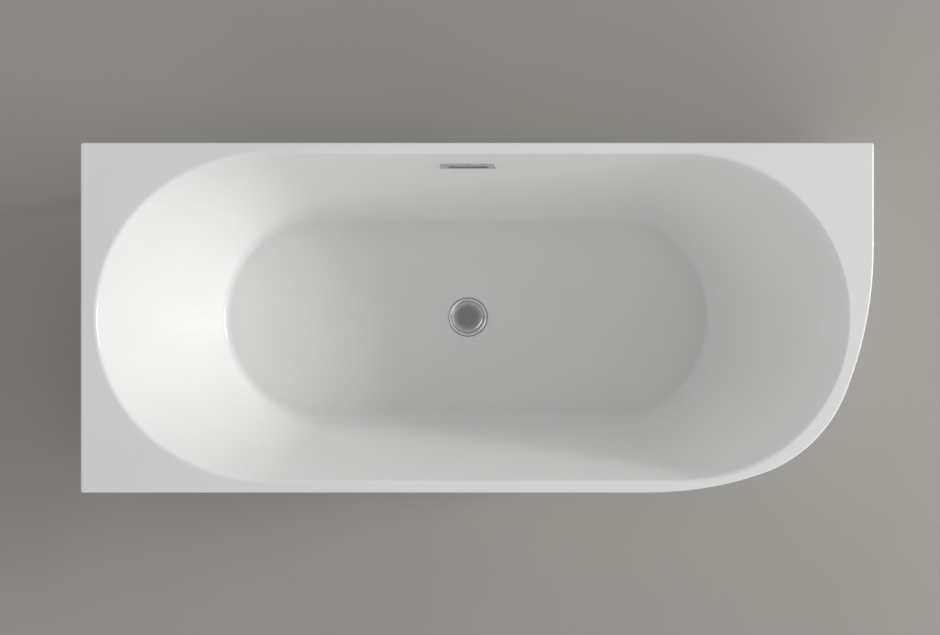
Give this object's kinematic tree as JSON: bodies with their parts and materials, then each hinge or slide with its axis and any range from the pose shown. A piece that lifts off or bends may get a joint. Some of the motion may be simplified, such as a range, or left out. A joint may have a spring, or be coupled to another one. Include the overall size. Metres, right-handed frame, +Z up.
{
  "type": "corner bathtub",
  "caption": "White corner bathtub with an oval basin, two straight wall edges, one rounded corner, a panelled front, a lift plug, an overflow and a framed underside.",
  "frame": {"origin": "on the floor under the middle of the rim's box", "axes": "+X along the bath towards its rounded end, +Y towards the back wall, +Z up"},
  "size_m": [1.7, 0.75, 0.58],
  "materials": {
    "acrylic": "glossy white sanitary acrylic",
    "fibreglass": "rough sprayed fibreglass, pale grey-green",
    "board": "plain chipboard",
    "timber": "sawn softwood",
    "galvanised_steel": "galvanised, matt with a faint spangle",
    "zinc_steel": "bright zinc plate",
    "black_plastic": "moulded black nylon",
    "white_plastic": "moulded white polypropylene",
    "chrome": "bright chrome plate",
    "brass": "turned brass",
    "rubber": "black rubber"
  },
  "bodies": {
    "bath": {"base_board": "board", "board_screws": "zinc_steel", "bracket_screws": "zinc_steel", "deck_board_back_left": "board", "deck_board_back_right": "board", "deck_board_front_left": "board", "fibreglass_backing": "fibreglass", "foot_lock_nuts": "zinc_steel", "foot_weld_nuts": "zinc_steel", "frame_cross_left": "galvanised_steel", "frame_cross_middle": "galvanised_steel", "frame_cross_right": "galvanised_steel", "frame_post_back_left": "galvanised_steel", "frame_post_back_right": "galvanised_steel", "frame_post_front_left": "galvanised_steel", "frame_rail_back": "galvanised_steel", "frame_rail_front": "galvanised_steel", "outer_panel": "acrylic", "outlet_nut": "white_plastic", "outlet_pipe": "white_plastic", "overflow_box": "white_plastic", "overflow_gasket": "rubber", "overflow_pipe": "white_plastic", "overflow_pipe_nuts": "white_plastic", "overflow_screws": "zinc_steel", "overflow_trim": "chrome", "panel_blocks": "timber", "panel_bracket_1": "galvanised_steel", "panel_bracket_2": "galvanised_steel", "panel_bracket_3": "galvanised_steel", "panel_bracket_4": "galvanised_steel", "panel_bracket_5": "galvanised_steel", "plug_cartridge": "brass", "rail_end_caps": "black_plastic", "trap_body": "white_plastic", "trap_nut": "white_plastic", "tub_shell": "acrylic", "waste_body": "white_plastic", "waste_flange": "chrome", "waste_low_gasket": "rubber", "waste_top_gasket": "rubber"},
    "plug": {"plug_cap": "chrome", "plug_seal": "rubber", "plug_sleeve": "white_plastic"},
    "pad_1": {"foot_pad_1": "black_plastic"},
    "stud_1": {"foot_stud_1": "zinc_steel"},
    "pad_2": {"foot_pad_2": "black_plastic"},
    "stud_2": {"foot_stud_2": "zinc_steel"},
    "pad_3": {"foot_pad_3": "black_plastic"},
    "stud_3": {"foot_stud_3": "zinc_steel"},
    "pad_4": {"foot_pad_4": "black_plastic"},
    "stud_4": {"foot_stud_4": "zinc_steel"},
    "pad_5": {"foot_pad_5": "black_plastic"},
    "stud_5": {"foot_stud_5": "zinc_steel"},
    "pad_6": {"foot_pad_6": "black_plastic"},
    "stud_6": {"foot_stud_6": "zinc_steel"}
  },
  "joints": [
    {"name": "plug_lift", "type": "slide", "parent": "bath", "child": "plug", "axis": [0, 0, 1], "range_m": [0, 0.01]},
    {"name": "foot_1_height", "type": "slide", "parent": "bath", "child": "pad_1", "axis": [0, 0, 1], "range_m": [-0.01, 0.01]},
    {"name": "foot_1_turn", "type": "hinge", "parent": "pad_1", "child": "stud_1", "pos_m": [-0.64, -0.3, 0.012], "axis": [0, 0, 1], "range_deg": [-2100, 2100]},
    {"name": "foot_2_height", "type": "slide", "parent": "bath", "child": "pad_2", "axis": [0, 0, 1], "range_m": [-0.01, 0.01]},
    {"name": "foot_2_turn", "type": "hinge", "parent": "pad_2", "child": "stud_2", "pos_m": [0.06, -0.3, 0.012], "axis": [0, 0, 1], "range_deg": [-2100, 2100]},
    {"name": "foot_3_height", "type": "slide", "parent": "bath", "child": "pad_3", "axis": [0, 0, 1], "range_m": [-0.01, 0.01]},
    {"name": "foot_3_turn", "type": "hinge", "parent": "pad_3", "child": "stud_3", "pos_m": [0.39998, -0.3, 0.012], "axis": [0, 0, 1], "range_deg": [-2100, 2100]},
    {"name": "foot_4_height", "type": "slide", "parent": "bath", "child": "pad_4", "axis": [0, 0, 1], "range_m": [-0.01, 0.01]},
    {"name": "foot_4_turn", "type": "hinge", "parent": "pad_4", "child": "stud_4", "pos_m": [-0.64, 0.3, 0.012], "axis": [0, 0, 1], "range_deg": [-2100, 2100]},
    {"name": "foot_5_height", "type": "slide", "parent": "bath", "child": "pad_5", "axis": [0, 0, 1], "range_m": [-0.01, 0.01]},
    {"name": "foot_5_turn", "type": "hinge", "parent": "pad_5", "child": "stud_5", "pos_m": [0.06, 0.3, 0.012], "axis": [0, 0, 1], "range_deg": [-2100, 2100]},
    {"name": "foot_6_height", "type": "slide", "parent": "bath", "child": "pad_6", "axis": [0, 0, 1], "range_m": [-0.01, 0.01]},
    {"name": "foot_6_turn", "type": "hinge", "parent": "pad_6", "child": "stud_6", "pos_m": [0.64, 0.3, 0.012], "axis": [0, 0, 1], "range_deg": [-2100, 2100]}
  ],
  "couplings": [
    {"joint": "foot_1_turn", "follows": "foot_1_height", "rad_per_m": 3590.4},
    {"joint": "foot_2_turn", "follows": "foot_2_height", "rad_per_m": 3590.4},
    {"joint": "foot_3_turn", "follows": "foot_3_height", "rad_per_m": 3590.4},
    {"joint": "foot_4_turn", "follows": "foot_4_height", "rad_per_m": 3590.4},
    {"joint": "foot_5_turn", "follows": "foot_5_height", "rad_per_m": 3590.4},
    {"joint": "foot_6_turn", "follows": "foot_6_height", "rad_per_m": 3590.4}
  ]
}
